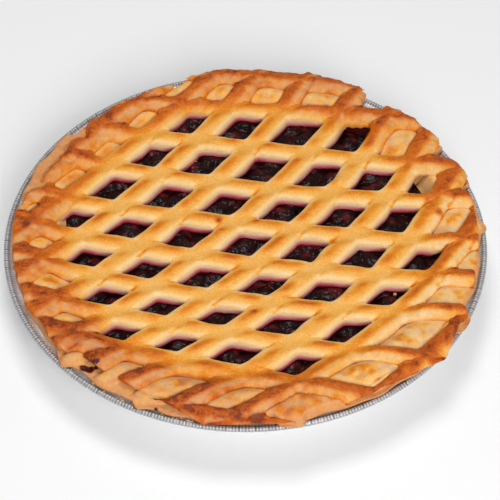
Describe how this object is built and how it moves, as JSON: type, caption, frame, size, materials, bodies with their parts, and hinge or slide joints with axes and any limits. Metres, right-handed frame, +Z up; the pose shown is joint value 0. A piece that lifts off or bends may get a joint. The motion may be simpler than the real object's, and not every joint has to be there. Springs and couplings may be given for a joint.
{
  "type": "apple blueberry pie",
  "caption": "Round fruit pie with a roller-cut lattice crust over a dark berry filling, in its own shallow foil tin.",
  "frame": {"origin": "middle of the tin's flat base, on the surface that the pie stands on", "axes": "+Z up out of the pie; -Y towards the side that faces the viewer; +X to that viewer's right"},
  "size_m": [0.2808, 0.2808, 0.0399],
  "materials": {
    "foil": "bright pressed foil with a crimped, rolled edge",
    "case_crust": null,
    "berry_filling": null,
    "lattice_crust": null
  },
  "bodies": {
    "root": {"foil_tin": "foil", "pastry_case": "case_crust", "filling": "berry_filling", "lattice_top": "lattice_crust"}
  },
  "joints": []
}
